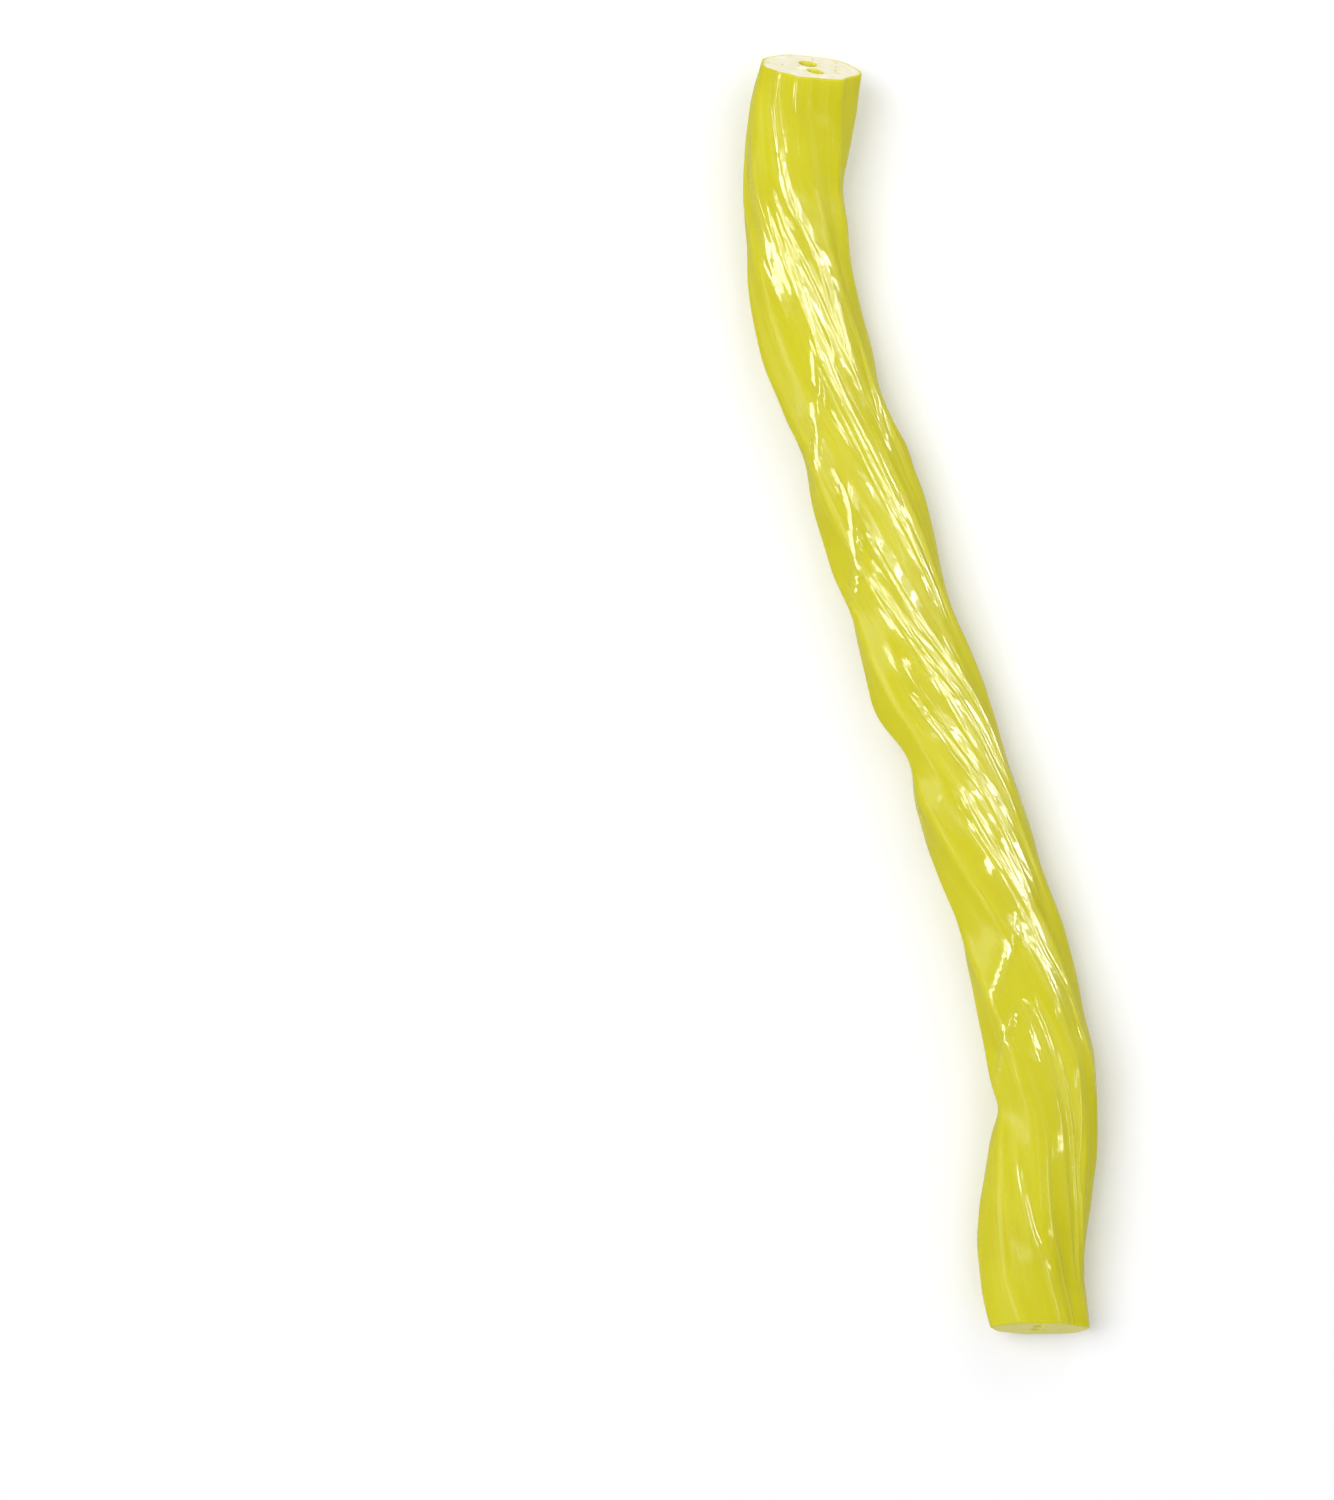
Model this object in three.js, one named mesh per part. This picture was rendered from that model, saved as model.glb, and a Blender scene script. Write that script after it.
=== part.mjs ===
// One honeydew licorice twist: a soft yellow-green rope of candy, about 128 mm from end to end.
// It is pressed through a seven-cornered die, turned about once along its length and cut off.
// Two thin channels run through it and open at both cut faces.
// Millimetres, +Z up. It lies along Y, shown side up. The origin is the bottom centre of its box.
import * as THREE from 'three';

// The route of the axis, from the raised end to the low end. Each stop has its place, how many
// degrees the section has turned there, and the section's width and height beside the die's own.
const stops = [
  { x: -10.9, y: 62.5, z: 8.2, turn: 2, width: 0.97, height: 0.86 },
  { x: -11.9, y: 57.6, z: 6.7, turn: 14, width: 1.0, height: 0.88 },
  { x: -12.6, y: 49.6, z: 5.1, turn: 36, width: 0.98, height: 0.9 },
  { x: -11.7, y: 40.6, z: 4.6, turn: 62, width: 1.0, height: 0.9 },
  { x: -8.6, y: 29.6, z: 4.65, turn: 82, width: 1.0, height: 0.9 },
  { x: -3.4, y: 13.6, z: 4.6, turn: 125, width: 1.0, height: 0.9 },
  { x: 1.85, y: -2.4, z: 4.55, turn: 175, width: 1.0, height: 0.9 },
  { x: 7.35, y: -18.4, z: 4.6, turn: 231, width: 0.98, height: 0.9 },
  { x: 10.9, y: -30.4, z: 4.65, turn: 272, width: 1.0, height: 0.9 },
  { x: 12.35, y: -40.4, z: 4.7, turn: 299, width: 1.0, height: 0.88 },
  { x: 11.9, y: -49.4, z: 4.5, turn: 321, width: 1.0, height: 0.86 },
  { x: 11.3, y: -57.4, z: 4.35, turn: 338, width: 0.96, height: 0.82 },
  { x: 12.0, y: -63.3, z: 4.4, turn: 350, width: 0.9, height: 0.76 },
];

// The top of the rope has a broad flat at the raised end: how deep it is at the cut, where round
// the die, how many degrees round it reaches and how far along the rope.
const endFlat = { depth: 0.5, angle: -3, spread: 24, reach: 12 };

// The skin of the soft rope has slipped back a little round its right flank: by how many degrees
// at most, where on the flank, and how far round it reaches.
const flankSlip = { most: 20, facing: 88, reach: 34 };

// The seven corners of the die, in degrees round from the top towards +X. Between each corner and
// the next, a flat carries one low ridge: how far along the flat it lies and how proud it stands.
const corners = [
  { angle: -10, radius: 5.5, ridgeAlong: 0.48, ridgeProud: 0.04 },
  { angle: 43, radius: 5.45, ridgeAlong: 0.47, ridgeProud: 0.14 },
  { angle: 107, radius: 5.65, ridgeAlong: 0.42, ridgeProud: 0.05 },
  { angle: 152, radius: 5.6, ridgeAlong: 0.52, ridgeProud: 0.1 },
  { angle: 207, radius: 5.5, ridgeAlong: 0.5, ridgeProud: 0.06 },
  { angle: 250, radius: 5.4, ridgeAlong: 0.55, ridgeProud: 0.09 },
  { angle: 293, radius: 5.65, ridgeAlong: 0.48, ridgeProud: 0.3 },
];
const cornerSoftness = 4;
const dieRadius = 5.7;

// Where the soft rope is pressed in, or swells where the depth is negative: how far along Y, on
// which side, how deep and how far along it reaches. Each fades round the rope over the spread.
const rightSide = 90;
const leftSide = -90;
const pressSpread = 45;
const presses = [
  { y: 62.6, side: rightSide, depth: 0.3, reach: 3 },
  { y: 56, side: rightSide, depth: -0.35, reach: 4 },
  { y: 47.6, side: rightSide, depth: -0.45, reach: 2.6 },
  { y: 45.2, side: leftSide, depth: 0.35, reach: 2.5 },
  { y: 34.6, side: leftSide, depth: -0.35, reach: 4 },
  { y: 29.4, side: rightSide, depth: 0.3, reach: 2.2 },
  { y: 24.8, side: leftSide, depth: 0.55, reach: 2.5 },
  { y: 23.4, side: rightSide, depth: -0.45, reach: 2.2 },
  { y: 18.6, side: rightSide, depth: -0.3, reach: 3 },
  { y: 9.6, side: leftSide, depth: 0.3, reach: 2.5 },
  { y: 8.1, side: rightSide, depth: 0.45, reach: 3.5 },
  { y: 0.6, side: leftSide, depth: -0.4, reach: 2.5 },
  { y: -5.2, side: leftSide, depth: 1.2, reach: 2.8 },
  { y: -20.6, side: leftSide, depth: 0.35, reach: 2.6 },
  { y: -36.4, side: rightSide, depth: -0.45, reach: 2.6 },
  { y: -41.2, side: leftSide, depth: 0.65, reach: 2.2 },
  { y: -52, side: leftSide, depth: -0.35, reach: 4 },
];

// The two channels lie on either side of the axis, each a little oval towards it.
const channelHalfWidth = 0.85;
const channelHalfLength = 1.15;
const channelOffset = 1.55;
const channelAngles = [16, 196];

// Each cut leans so that its face looks a little upward, and it is skewed across the width.
// The sections behind a cut follow it less and less over the reach of the cut.
const startCut = { lean: 4, skew: -4 };
const endCut = { lean: 13, skew: -7 };
const cutReach = 9;

// How finely the faceted solid follows the true form.
const stationCount = 72;
const stepsBetweenCrests = 3;
const channelSides = 8;

const honeydewColor = 0xd6d22c;

/** Radius of the straight line between two crests, at an angle that lies between them. */
function chordRadius(from, to, angle) {
  const span = THREE.MathUtils.degToRad(to.angle - from.angle);
  const past = THREE.MathUtils.degToRad(angle - from.angle);
  const spread = from.radius * Math.sin(past) + to.radius * Math.sin(span - past);
  return from.radius * to.radius * Math.sin(span) / spread;
}

/** The corners and the low ridges between them, once round the die. */
function makeCrests() {
  return corners.flatMap((corner, index) => {
    const wraps = index === corners.length - 1;
    const next = wraps ? { angle: corners[0].angle + 360, radius: corners[0].radius } : corners[index + 1];
    const ridgeAngle = THREE.MathUtils.lerp(corner.angle, next.angle, corner.ridgeAlong);
    const ridgeRadius = chordRadius(corner, next, ridgeAngle) + corner.ridgeProud;
    return [corner, { angle: ridgeAngle, radius: ridgeRadius }];
  });
}

const crests = makeCrests();

/** Crest by its place round the die; past the last one the count goes on with a full turn added. */
function crestAt(index) {
  const turns = Math.floor(index / crests.length);
  const crest = crests[index - turns * crests.length];
  return { angle: crest.angle + 360 * turns, radius: crest.radius };
}

/** Radius of the die at an angle, with the crests still sharp. */
function sharpRadius(angle) {
  const start = crests[0].angle;
  const wrapped = start + THREE.MathUtils.euclideanModulo(angle - start, 360);
  const index = crests.findLastIndex((crest) => crest.angle <= wrapped);
  return chordRadius(crestAt(index), crestAt(index + 1), wrapped);
}

/** Radius of the die at an angle, averaged over a few degrees so that the crests are soft. */
function softRadius(angle) {
  const nearby = [-1, -0.5, 0, 0.5, 1].map((part) => sharpRadius(angle + part * cornerSoftness));
  return nearby.reduce((sum, radius) => sum + radius, 0) / nearby.length;
}

/** The die's outline: each crest and even steps between it and the next one. */
function makeOutline() {
  const outline = [];
  for (let index = 0; index < crests.length; index += 1) {
    for (let step = 0; step < stepsBetweenCrests; step += 1) {
      const part = step / stepsBetweenCrests;
      const angle = THREE.MathUtils.lerp(crestAt(index).angle, crestAt(index + 1).angle, part);
      outline.push({ angle, radius: softRadius(angle) });
    }
  }
  return outline;
}

/** The outline of one channel, as angles and radii round the die's own axis. */
function makeChannel(channelAngle) {
  const middle = THREE.MathUtils.degToRad(channelAngle);
  const outline = [];
  for (let side = 0; side < channelSides; side += 1) {
    const round = 2 * Math.PI * side / channelSides;
    const outward = channelOffset + channelHalfLength * Math.cos(round);
    const sideways = channelHalfWidth * Math.sin(round);
    const across = outward * Math.sin(middle) + sideways * Math.cos(middle);
    const up = outward * Math.cos(middle) - sideways * Math.sin(middle);
    const angle = THREE.MathUtils.radToDeg(Math.atan2(across, up));
    outline.push({ angle, radius: Math.hypot(across, up) });
  }
  return outline;
}

/** A smooth hump that is 1 where the distance is nothing and fades over the reach. */
function hump(distance, reach) {
  return Math.exp(-((distance / reach) ** 2));
}

/** How many degrees one direction lies round from another, from -180 to 180. */
function degreesAside(facing, from) {
  return THREE.MathUtils.euclideanModulo(facing - from + 180, 360) - 180;
}

/** What is left of a radius where the presses take from it or add to it. */
function pressedShare(facing, y) {
  const taken = presses.map((press) => (
    press.depth * hump(degreesAside(facing, press.side), pressSpread) * hump(y - press.y, press.reach)
  ));
  return 1 - taken.reduce((sum, depth) => sum + depth, 0) / dieRadius;
}

/** What is left of a radius under the flat at the raised end. */
function flattenedShare(angle, fromStart) {
  const taken = endFlat.depth * hump(degreesAside(angle, endFlat.angle), endFlat.spread);
  return 1 - taken * hump(fromStart, endFlat.reach) / dieRadius;
}

/** Place across and up from the axis of a die point that has turned, slipped and been squeezed. */
function squeeze({ angle, radius }, { turn, width, height, centre, fromStart }) {
  const straight = angle + turn;
  const facing = straight - flankSlip.most * hump(degreesAside(straight, flankSlip.facing), flankSlip.reach);
  const turned = THREE.MathUtils.degToRad(facing);
  const pressed = radius * pressedShare(facing, centre.y) * flattenedShare(angle, fromStart);
  return { across: pressed * Math.sin(turned) * width, up: pressed * Math.cos(turned) * height };
}

const axis = new THREE.CatmullRomCurve3(
  stops.map((stop) => new THREE.Vector3(stop.x, stop.y, stop.z)),
  false,
  'catmullrom',
);
const sectionAlong = new THREE.CatmullRomCurve3(
  stops.map((stop) => new THREE.Vector3(stop.turn, stop.width, stop.height)),
  false,
  'catmullrom',
);

/** One station of the rope: the axis point there, its three directions and its section. */
function makeStation(part) {
  const along = axis.getUtoTmapping(part);
  const centre = axis.getPoint(along);
  const ahead = axis.getTangent(along);
  const right = new THREE.Vector3(0, 0, 1).cross(ahead).normalize();
  const top = ahead.clone().cross(right);
  const [turn, width, height] = sectionAlong.getPoint(along).toArray();
  const fromStart = part * axis.getLength();
  return { fromStart, centre, ahead, right, top, turn, width, height };
}

/** How far along the axis a cut moves a section point, at a distance from that cut. */
function cutShift({ lean, skew }, { across, up }, distance) {
  const fade = Math.max(0, 1 - distance / cutReach);
  const leaning = up * Math.tan(THREE.MathUtils.degToRad(lean));
  const skewing = across * Math.tan(THREE.MathUtils.degToRad(skew));
  return fade * (leaning + skewing);
}

/** A die point in space. What would lie below the floor is pressed flat on it. */
function placePoint(diePoint, station) {
  const offset = squeeze(diePoint, station);
  const toEnd = axis.getLength() - station.fromStart;
  const forward = cutShift(startCut, offset, station.fromStart) - cutShift(endCut, offset, toEnd);
  const point = station.centre.clone()
    .addScaledVector(station.right, offset.across)
    .addScaledVector(station.top, offset.up)
    .addScaledVector(station.ahead, forward);
  point.z = Math.max(point.z, 0);
  return point;
}

/** Adds the triangles of the wall that one outline sweeps, seen from outside or from within. */
function addWall(triangles, first, count, stride, facesOut) {
  for (let station = 0; station + 1 < stationCount; station += 1) {
    for (let index = 0; index < count; index += 1) {
      const here = station * stride + first;
      const near = here + index;
      const next = here + (index + 1) % count;
      const wall = [near, near + stride, next, next, near + stride, next + stride];
      triangles.push(...(facesOut ? wall : wall.reverse()));
    }
  }
}

/** The triangles of a cut face round both channels, seen from ahead of the section. */
function faceTriangles(outlines) {
  const flat = outlines.map((outline) => outline.map(({ angle, radius }) => {
    const round = THREE.MathUtils.degToRad(angle);
    return new THREE.Vector2(radius * Math.sin(round), radius * Math.cos(round));
  }));
  const points = flat.flat();
  return THREE.ShapeUtils.triangulateShape(flat[0], flat.slice(1)).map(([a, b, c]) => {
    const area = THREE.ShapeUtils.area([points[a], points[b], points[c]]);
    return area > 0 ? [a, b, c] : [a, c, b];
  });
}

/** The whole rope: its skin, both channel walls and both cut faces, as one closed surface. */
function makeRope() {
  const outlines = [makeOutline(), ...channelAngles.map(makeChannel)];
  const diePoints = outlines.flat();
  const stride = diePoints.length;
  const positions = [];
  for (let index = 0; index < stationCount; index += 1) {
    const station = makeStation(index / (stationCount - 1));
    diePoints.forEach((diePoint) => positions.push(...placePoint(diePoint, station).toArray()));
  }
  const triangles = [];
  let first = 0;
  outlines.forEach((outline, index) => {
    addWall(triangles, first, outline.length, stride, index === 0);
    first += outline.length;
  });
  const lastStation = (stationCount - 1) * stride;
  faceTriangles(outlines).forEach(([a, b, c]) => {
    triangles.push(a, c, b);
    triangles.push(lastStation + a, lastStation + b, lastStation + c);
  });
  const geometry = new THREE.BufferGeometry();
  geometry.setAttribute('position', new THREE.Float32BufferAttribute(positions, 3));
  geometry.setIndex(triangles);
  geometry.computeVertexNormals();
  return geometry;
}

const candy = new THREE.MeshStandardMaterial({ color: honeydewColor, roughness: 0.35, metalness: 0 });
const twist = new THREE.Mesh(makeRope(), candy);
twist.name = 'twist';

const licoriceTwist = new THREE.Group();
licoriceTwist.add(twist);

export default licoriceTwist;
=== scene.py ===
"""A honeydew licorice twist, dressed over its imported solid.

The piece is one soft candy rope with a seven-cornered section, turned about once along its length.
Its skin is yellow-green and polished in streaks, its two cut faces are pale and waxy, and two thin
channels run through it. It lies alone on a white table, seen from straight above.

Sizes are millimetres in the piece's own frame, and turn into metres where meshes are made.
"""
import itertools
import logging
import math
from collections.abc import Iterator
from dataclasses import dataclass, field
from enum import Enum

import bpy
import numpy as np
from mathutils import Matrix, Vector
from mathutils.geometry import delaunay_2d_cdt


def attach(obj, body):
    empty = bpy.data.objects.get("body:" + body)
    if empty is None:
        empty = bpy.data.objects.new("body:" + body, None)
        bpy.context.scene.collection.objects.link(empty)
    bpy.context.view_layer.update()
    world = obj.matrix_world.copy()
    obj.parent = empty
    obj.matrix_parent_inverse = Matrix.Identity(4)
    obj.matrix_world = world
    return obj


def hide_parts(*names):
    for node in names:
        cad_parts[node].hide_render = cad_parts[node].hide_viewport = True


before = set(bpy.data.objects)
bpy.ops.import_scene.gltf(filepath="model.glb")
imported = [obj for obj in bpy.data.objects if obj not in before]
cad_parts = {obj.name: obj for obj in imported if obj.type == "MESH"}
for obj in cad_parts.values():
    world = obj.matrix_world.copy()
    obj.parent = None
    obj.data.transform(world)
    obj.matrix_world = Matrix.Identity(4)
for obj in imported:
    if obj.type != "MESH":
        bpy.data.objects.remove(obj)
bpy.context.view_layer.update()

MM = 0.001
Colour = tuple[float, float, float, float]
log = logging.getLogger("licorice twist")


class Side(Enum):
    """Which side of the rope something is on, as degrees round it from the top."""

    RIGHT = 90.0
    LEFT = -90.0


class Surface(Enum):
    """The kinds of surface of the rope, in the order of its material slots."""

    SKIN = 0
    CUT = 1
    CHANNEL = 2


@dataclass(frozen=True)
class Stop:
    """One place on the rope's route, and its section there.

    The turn is in degrees. Width and height compare the section with the die's own.
    """

    x: float
    y: float
    z: float
    turn: float
    width: float
    height: float


@dataclass(frozen=True)
class Corner:
    """A corner of the die and the low ridge on the flat between it and the next corner."""

    angle: float
    radius: float
    ridge_along: float
    ridge_proud: float


@dataclass(frozen=True)
class Press:
    """A place where the soft rope is pressed in, or swells where the depth is negative."""

    y: float
    side: Side
    depth: float
    reach: float


@dataclass(frozen=True)
class FlankSlip:
    """How the pull drew the skin of one flank back round the rope, in degrees."""

    most: float = 20.0
    facing: float = 88.0
    reach: float = 34.0

    def settle(self, straight: np.ndarray) -> np.ndarray:
        """Where points face after the slip, from where they faced before it."""
        aside = degrees_aside(straight, self.facing)
        return straight - self.most * np.exp(-((aside / self.reach) ** 2))


@dataclass(frozen=True)
class Cut:
    """A cut through the rope. Its face leans upward and is skewed across the width, in degrees."""

    lean: float
    skew: float
    reach: float = 9.0

    def shift(self, across: np.ndarray, up: np.ndarray, distance: np.ndarray) -> np.ndarray:
        """How far along the axis the cut moves section points.

        Args:
            across: Places of the points to the right of the axis.
            up: Places of the points above the axis.
            distance: How far along the rope they lie from the cut.

        Returns:
            The moves, which fade to nothing over the reach of the cut.
        """
        fade = np.clip(1 - distance / self.reach, 0, None)
        return fade * (up * math.tan(math.radians(self.lean)) + across * math.tan(math.radians(self.skew)))


def catmull_rom(rows: np.ndarray, along: np.ndarray) -> np.ndarray:
    """Values between rows of values, on a Catmull-Rom curve through them.

    Args:
        rows: The rows that the curve passes through.
        along: Places counted in rows from the first one.

    Returns:
        One row of values for each place.
    """
    held = np.vstack([2 * rows[0] - rows[1], rows, 2 * rows[-1] - rows[-2]])
    index = np.clip(along.astype(int), 0, len(rows) - 2)
    part = (along - index)[:, None]
    before, here, ahead, beyond = (held[index + step] for step in range(4))
    cubic = 3 * (here - ahead) + beyond - before
    square = 2 * before - 5 * here + 4 * ahead - beyond
    return here + 0.5 * part * (ahead - before + part * (square + part * cubic))


def polar(places: np.ndarray) -> tuple[np.ndarray, np.ndarray]:
    """Angles round the die and distances from its axis, of places in its plane."""
    return np.degrees(np.arctan2(places[..., 0], places[..., 1])), np.linalg.norm(places, axis=-1)


def degrees_aside(angle: np.ndarray, other: np.ndarray | float) -> np.ndarray:
    """How far round an angle lies from another one, from -180 to 180."""
    return np.mod(angle - other + 180, 360) - 180


def random_waves(
    draw: np.random.Generator, places: np.ndarray, count: int, lengths: tuple[float, float]
) -> Iterator[tuple[float, np.ndarray]]:
    """Waves through places, with headings, lengths and phases drawn at random.

    Args:
        draw: Where the random numbers come from.
        places: The places, one in each row.
        count: How many waves there are.
        lengths: The shortest and the longest length.

    Returns:
        The length of each wave, and how high it stands at every place, from -1 to 1.
    """
    for _ in range(count):
        heading = draw.normal(size=places.shape[-1])
        heading /= np.linalg.norm(heading)
        length = draw.uniform(*lengths)
        phase = draw.uniform(0, 2 * math.pi)
        yield length, np.sin(places @ heading * 2 * math.pi / length + phase)


@dataclass
class Stations:
    """The axis points of a row of sections, their directions and their shapes."""

    distance: np.ndarray
    centre: np.ndarray
    ahead: np.ndarray
    right: np.ndarray
    top: np.ndarray
    turn: np.ndarray
    width: np.ndarray
    height: np.ndarray


@dataclass
class Route:
    """The curve that the rope's axis follows, through its stops."""

    stops: tuple[Stop, ...] = (
        Stop(-10.9, 62.5, 8.2, 2, 0.97, 0.86),
        Stop(-11.9, 57.6, 6.7, 14, 1.0, 0.88),
        Stop(-12.6, 49.6, 5.1, 36, 0.98, 0.9),
        Stop(-11.7, 40.6, 4.6, 62, 1.0, 0.9),
        Stop(-8.6, 29.6, 4.65, 82, 1.0, 0.9),
        Stop(-3.4, 13.6, 4.6, 125, 1.0, 0.9),
        Stop(1.85, -2.4, 4.55, 175, 1.0, 0.9),
        Stop(7.35, -18.4, 4.6, 231, 0.98, 0.9),
        Stop(10.9, -30.4, 4.65, 272, 1.0, 0.9),
        Stop(12.35, -40.4, 4.7, 299, 1.0, 0.88),
        Stop(11.9, -49.4, 4.5, 321, 1.0, 0.86),
        Stop(11.3, -57.4, 4.35, 338, 0.96, 0.82),
        Stop(12.0, -63.3, 4.4, 350, 0.9, 0.76),
    )
    fine_steps: int = 4000
    nudge: float = 1e-3

    def __post_init__(self) -> None:
        """Measures the curve, so that places on it can be given by their distance along it."""
        self.rows = np.array([[s.x, s.y, s.z, s.turn, s.width, s.height] for s in self.stops])
        self.along = np.linspace(0, len(self.stops) - 1, self.fine_steps)
        points = catmull_rom(self.rows, self.along)[:, :3]
        steps = np.linalg.norm(np.diff(points, axis=0), axis=1)
        self.travelled = np.concatenate([[0], np.cumsum(steps)])
        self.length = float(self.travelled[-1])

    def stations(self, distance: np.ndarray) -> Stations:
        """The sections at distances along the rope.

        Args:
            distance: Distances from the raised end.

        Returns:
            The stations, with each value shaped to spread over a row of section points.
        """
        along = np.interp(distance, self.travelled, self.along)
        rows = catmull_rom(self.rows, along)
        last = len(self.rows) - 1
        before, after = (
            catmull_rom(self.rows, np.clip(along + step, 0, last)) for step in (-self.nudge, self.nudge)
        )
        ahead = (after - before)[:, :3]
        ahead /= np.linalg.norm(ahead, axis=1, keepdims=True)
        right = np.cross([0.0, 0.0, 1.0], ahead)
        right /= np.linalg.norm(right, axis=1, keepdims=True)
        top = np.cross(ahead, right)
        turn, width, height = (rows[:, column, None] for column in (3, 4, 5))
        centre = rows[:, None, :3]
        return Stations(
            distance[:, None], centre, ahead[:, None], right[:, None], top[:, None], turn, width, height
        )


@dataclass
class Die:
    """The outline that the rope was pressed through."""

    corners: tuple[Corner, ...] = (
        Corner(-10, 5.5, 0.48, 0.04),
        Corner(43, 5.45, 0.47, 0.14),
        Corner(107, 5.65, 0.42, 0.05),
        Corner(152, 5.6, 0.52, 0.1),
        Corner(207, 5.5, 0.5, 0.06),
        Corner(250, 5.4, 0.55, 0.09),
        Corner(293, 5.65, 0.48, 0.3),
    )
    size: float = 5.7
    softness: float = 8.0
    samples: int = 11

    def __post_init__(self) -> None:
        """Lists the corners and the low ridges between them, once round."""
        corners = [(corner.angle, corner.radius) for corner in self.corners]
        corners.append((corners[0][0] + 360, corners[0][1]))
        crests: list[tuple[float, float]] = []
        for corner, (start, end) in zip(self.corners, itertools.pairwise(corners)):
            angle = start[0] + (end[0] - start[0]) * corner.ridge_along
            ridge = float(self.chord(np.array(start), np.array(end), np.array(angle)))
            crests += [start, (angle, ridge + corner.ridge_proud)]
        self.crests = np.array(crests + [corners[-1]])

    @staticmethod
    def chord(start: np.ndarray, end: np.ndarray, angle: np.ndarray) -> np.ndarray:
        """Radius of the straight line between two crests.

        Args:
            start: Angle and radius of the crest before.
            end: Angle and radius of the crest after.
            angle: The angles asked for, between the two.

        Returns:
            The radius of the line at each angle.
        """
        span = np.radians(end[..., 0] - start[..., 0])
        past = np.radians(angle - start[..., 0])
        spread = start[..., 1] * np.sin(past) + end[..., 1] * np.sin(span - past)
        return start[..., 1] * end[..., 1] * np.sin(span) / spread

    def radius(self, angle: np.ndarray) -> np.ndarray:
        """Radius of the die, with its crests a little soft.

        Args:
            angle: Angles round the die.

        Returns:
            The radius at each of them.
        """
        first = self.crests[0, 0]
        total = np.zeros_like(angle, dtype=float)
        for part in np.linspace(-1, 1, self.samples):
            wrapped = first + np.mod(angle + part * self.softness - first, 360)
            index = np.searchsorted(self.crests[:, 0], wrapped, side="right") - 1
            index = np.clip(index, 0, len(self.crests) - 2)
            total += self.chord(self.crests[index], self.crests[index + 1], wrapped)
        return total / self.samples


@dataclass
class DieMarks:
    """Fine lines that the die and the pull leave along the rope, which come and go."""

    count: int = 60
    height: float = 0.014
    half_width: float = 1.7
    stray: float = 0.4
    heights: tuple[float, float] = (0.25, 1.0)
    widths: tuple[float, float] = (0.6, 1.3)
    wave_lengths: tuple[float, float] = (22.0, 70.0)
    sharpness: float = 1.4
    seed: int = 11

    def relief(self, angle: np.ndarray, distance: np.ndarray) -> np.ndarray:
        """How far the lines stand out.

        Args:
            angle: Angles round the die.
            distance: Distances along the rope.

        Returns:
            The relief, for each station in a row.
        """
        draw = np.random.default_rng(self.seed)
        spacing = 360 / self.count
        total = np.zeros(np.broadcast_shapes(angle.shape, distance.shape))
        for index in range(self.count):
            middle = (index + draw.uniform(-self.stray, self.stray)) * spacing
            height = self.height * draw.uniform(*self.heights)
            half_width = self.half_width * draw.uniform(*self.widths)
            wave = draw.uniform(*self.wave_lengths)
            phase = draw.uniform(0, 2 * math.pi)
            aside = degrees_aside(angle, middle)
            line = np.clip(1 - np.abs(aside) / half_width, 0, None) ** self.sharpness
            lasting = 0.5 + 0.5 * np.sin(distance * 2 * math.pi / wave + phase)
            total += height * line * lasting
        return total


@dataclass(frozen=True)
class Strand:
    """A ridge that the pull left in the skin, which it polished up to some distance from the ridge.

    Its path runs through places given by their distance along the rope and angle round the die.
    It is soft and as wide on both sides, unless it has a shoulder. Then its top is sharp, and the
    shoulder is how wide it is towards lower angles. The arc is millimetres of skin for a degree.
    """

    path: tuple[tuple[float, float], ...]
    height: float
    half_width: float
    shoulder: float = 0.0
    polished: float = 1.2
    polish_gain: float = 1.4
    taper: float = 3.0
    steps: int = 6
    arc: float = 0.0977

    def measure(self, angle: np.ndarray, distance: np.ndarray) -> tuple[np.ndarray, ...]:
        """How places on the skin lie to the strand.

        Args:
            angle: Angles round the die, in a row.
            distance: Distances along the rope, in a column.

        Returns:
            How far off its path they are, whether they lie on the side of lower angles, and how
            much of the strand there is beside them.
        """
        parts = self.steps * (len(self.path) - 1)
        line = catmull_rom(np.array(self.path, dtype=float), np.linspace(0, len(self.path) - 1, parts + 1))
        nearest = np.full(np.broadcast_shapes(angle.shape, distance.shape), np.inf)
        travelled = np.zeros_like(nearest)
        before = np.zeros_like(nearest, dtype=bool)
        covered = 0.0
        for start, end in zip(line[:-1], line[1:]):
            ahead = distance - start[0]
            aside = degrees_aside(angle, start[1]) * self.arc
            step = (end - start) * (1, self.arc)
            length = float(np.hypot(*step))
            share = np.clip((ahead * step[0] + aside * step[1]) / length**2, 0, 1)
            gap = np.hypot(ahead - share * step[0], aside - share * step[1])
            closer = gap < nearest
            travelled = np.where(closer, covered + share * length, travelled)
            before = np.where(closer, aside < share * step[1], before)
            nearest = np.minimum(nearest, gap)
            covered += length
        return nearest, before, np.clip(np.minimum(travelled, covered - travelled) / self.taper, 0, 1)

    def relief(self, angle: np.ndarray, distance: np.ndarray) -> np.ndarray:
        """How far the strand stands out.

        Args:
            angle: Angles round the die, in a row.
            distance: Distances along the rope, in a column.

        Returns:
            Its height at each place on the skin.
        """
        nearest, before, fade = self.measure(angle, distance)
        if self.shoulder:
            width = np.where(before, self.shoulder, self.half_width)
            return self.height * fade * np.clip(1 - nearest / width, 0, 1)
        return self.height * fade * (0.5 + 0.5 * np.cos(math.pi * np.clip(nearest / self.half_width, 0, 1)))

    def polish(self, angle: np.ndarray, distance: np.ndarray) -> np.ndarray:
        """How much the pull polished the skin at places near the strand, from 0 to 1."""
        nearest, _, fade = self.measure(angle, distance)
        return fade * np.clip(self.polish_gain * (1 - nearest / self.polished), 0, 1)


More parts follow.
